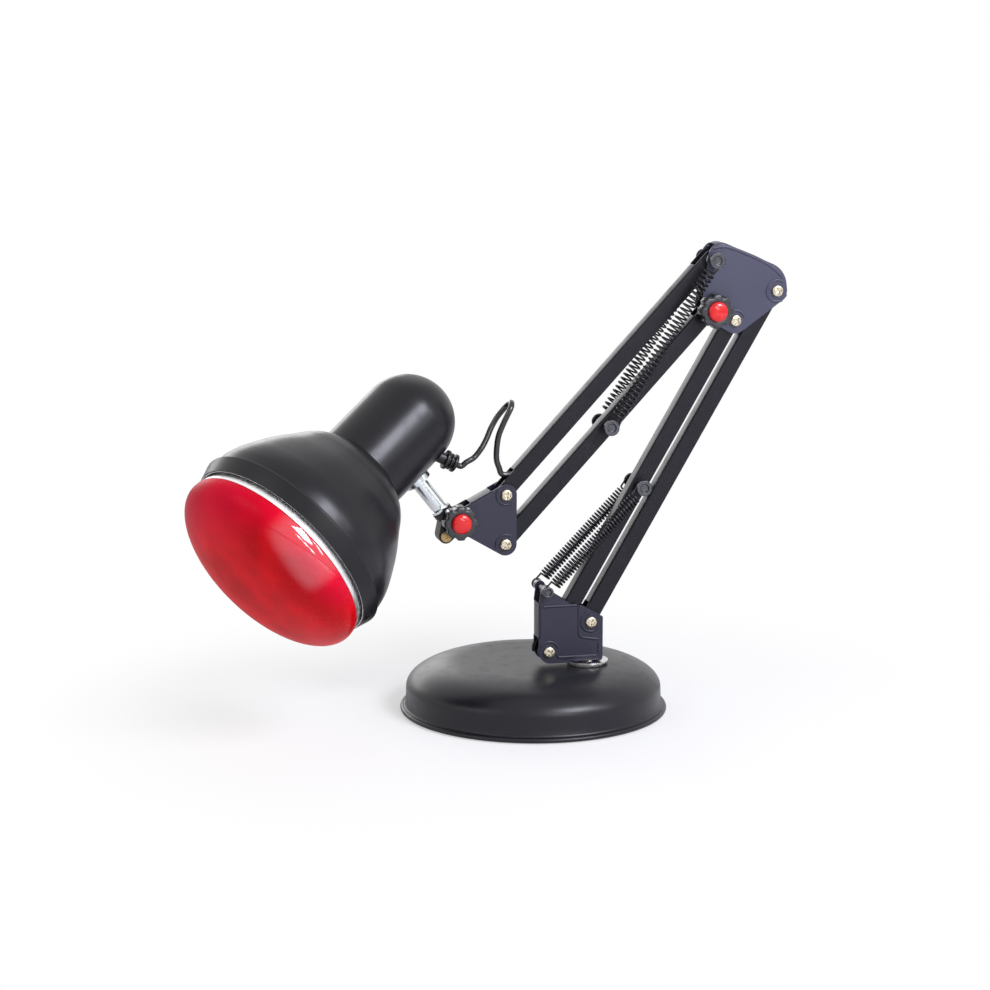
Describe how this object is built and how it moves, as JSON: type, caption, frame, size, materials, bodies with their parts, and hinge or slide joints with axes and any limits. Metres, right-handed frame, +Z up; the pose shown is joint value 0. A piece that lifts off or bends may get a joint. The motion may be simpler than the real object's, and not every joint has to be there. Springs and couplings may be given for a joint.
{
  "type": "infrared heat therapy lamp",
  "caption": "Desk-standing infrared heat lamp: round weighted base, sprung double-bar swing arm with clamping knobs, and a bell-shaped shade holding a red reflector bulb.",
  "frame": {"origin": "centre of the round base's underside, on the surface that the lamp stands on", "axes": "+Z up; +X along the arm's plane, towards the elbow; +Y away from the arm's front side, towards the cord inlet in the base"},
  "size_m": [0.3742, 0.2026, 0.29],
  "materials": {
    "cover_paint": "satin black enamel",
    "shade_paint": "satin black enamel",
    "plate_paint": "satin blue-grey black",
    "bar_paint": "satin black",
    "cast_weight": "as cast",
    "base_pad": "matt",
    "nylon": "natural nylon",
    "porcelain": "glazed",
    "gland_plastic": "ribbed",
    "knob_plastic": "moulded",
    "knob_red": "glossy",
    "lead_skin": "glossy sheath",
    "zinc": "zinc plated",
    "bright_washer": "bright",
    "spring_steel": "dark drawn wire",
    "chrome": "polished",
    "bronze": "dull",
    "brass": "bright",
    "bulb_silver": "silvered inside",
    "red_glass": "red, stippled front",
    "filament_mount": "satin"
  },
  "bodies": {
    "base": {"base_cover": "cover_paint", "base_weight": "cast_weight", "base_pad": "base_pad", "swivel_bush": "nylon", "inlet_gland": "gland_plastic", "terminal_block": "nylon", "base_lead": "lead_skin"},
    "swivel": {"swivel_pin": "zinc", "pin_nut": "zinc", "swivel_washer": "bright_washer", "arm_bracket": "plate_paint", "bracket_screws": "zinc", "bracket_spacers": "nylon", "spring_anchor": "zinc", "bracket_lead": "lead_skin", "lower_spring_front": "spring_steel", "lower_spring_back": "spring_steel"},
    "lower_rear": {"lower_rear_bar": "bar_paint", "lower_spring_posts": "zinc", "lower_arm_lead": "lead_skin"},
    "lower_front": {"lower_front_bar": "bar_paint"},
    "elbow": {"elbow_shell": "plate_paint", "elbow_screws": "zinc", "elbow_spacers": "nylon", "elbow_hook_bolt": "zinc", "elbow_clamp_bolt": "zinc", "elbow_lead": "lead_skin", "upper_spring_front": "spring_steel", "upper_spring_back": "spring_steel"},
    "elbow_knob": {"elbow_knob": "knob_plastic", "elbow_knob_cap": "knob_red"},
    "upper_top": {"upper_top_bar": "bar_paint", "upper_arm_lead": "lead_skin"},
    "upper_bottom": {"upper_bottom_bar": "bar_paint", "upper_spring_posts": "zinc"},
    "head_bracket": {"head_bracket": "plate_paint", "head_screws": "zinc", "head_spacers": "nylon", "head_clamp_bolt": "zinc"},
    "head_knob": {"head_knob": "knob_plastic", "head_knob_cap": "knob_red"},
    "knuckle": {"knuckle": "bronze", "knuckle_rivet": "brass", "stem_tube": "chrome"},
    "head": {"stem_saddle": "chrome", "stem_nut": "zinc", "head_cap": "shade_paint", "bell_shade": "shade_paint", "lampholder": "porcelain", "holder_clamp": "zinc", "bulb_screw_cap": "brass", "bulb_reflector": "bulb_silver", "bulb_front": "red_glass", "bulb_filament": "filament_mount", "head_gland": "gland_plastic", "head_lead": "lead_skin", "cord_loop": "lead_skin"}
  },
  "joints": [
    {"name": "base_swivel", "type": "hinge", "parent": "base", "child": "swivel", "pos_m": [0.0305, -0.015, 0.0335], "axis": [0, 0, 1], "range_deg": [-170, 170]},
    {"name": "lower_tilt", "type": "hinge", "parent": "swivel", "child": "lower_rear", "pos_m": [0.0041, -0.015, 0.041], "axis": [0, -1, 0], "range_deg": [-7, 16], "deforming": ["bracket_lead", "lower_spring_front", "lower_spring_back"]},
    {"name": "lower_link", "type": "hinge", "parent": "swivel", "child": "lower_front", "pos_m": [0.0307, -0.015, 0.0585], "axis": [0, -1, 0], "range_deg": [-7, 16]},
    {"name": "elbow_level", "type": "hinge", "parent": "lower_rear", "child": "elbow", "pos_m": [0.1213, -0.015, 0.24238], "axis": [0, -1, 0], "range_deg": [-16, 7], "deforming": ["elbow_lead"]},
    {"name": "upper_tilt", "type": "hinge", "parent": "elbow", "child": "upper_top", "pos_m": [0.10705, -0.015, 0.27983], "axis": [0, -1, 0], "range_deg": [-60, 5], "deforming": ["upper_spring_front", "upper_spring_back"]},
    {"name": "upper_link", "type": "hinge", "parent": "elbow", "child": "upper_bottom", "pos_m": [0.10655, -0.015, 0.24933], "axis": [0, -1, 0], "range_deg": [-60, 5]},
    {"name": "head_level", "type": "hinge", "parent": "upper_top", "child": "head_bracket", "pos_m": [-0.02287, -0.015, 0.1405], "axis": [0, -1, 0], "range_deg": [-5, 60], "deforming": ["cord_loop"]},
    {"name": "head_tilt", "type": "hinge", "parent": "head_bracket", "child": "knuckle", "pos_m": [-0.05312, -0.015, 0.12605], "axis": [0, -1, 0], "range_deg": [-35, 25]},
    {"name": "head_turn", "type": "hinge", "parent": "knuckle", "child": "head", "pos_m": [-0.05573, -0.015, 0.12404], "axis": [-0.6115, 0, 0.7912], "range_deg": [-83, 37]},
    {"name": "elbow_knob_turn", "type": "hinge", "parent": "elbow", "child": "elbow_knob", "pos_m": [0.10655, -0.015, 0.24933], "axis": [0, -1, 0], "range_deg": [0, 270]},
    {"name": "head_knob_turn", "type": "hinge", "parent": "head_bracket", "child": "head_knob", "pos_m": [-0.05312, -0.015, 0.12605], "axis": [0, -1, 0], "range_deg": [0, 270]}
  ],
  "couplings": [
    {"joint": "lower_link", "follows": "lower_tilt", "ratio": 1},
    {"joint": "elbow_level", "follows": "lower_tilt", "ratio": -1},
    {"joint": "upper_link", "follows": "upper_tilt", "ratio": 1},
    {"joint": "head_level", "follows": "upper_tilt", "ratio": -1}
  ]
}
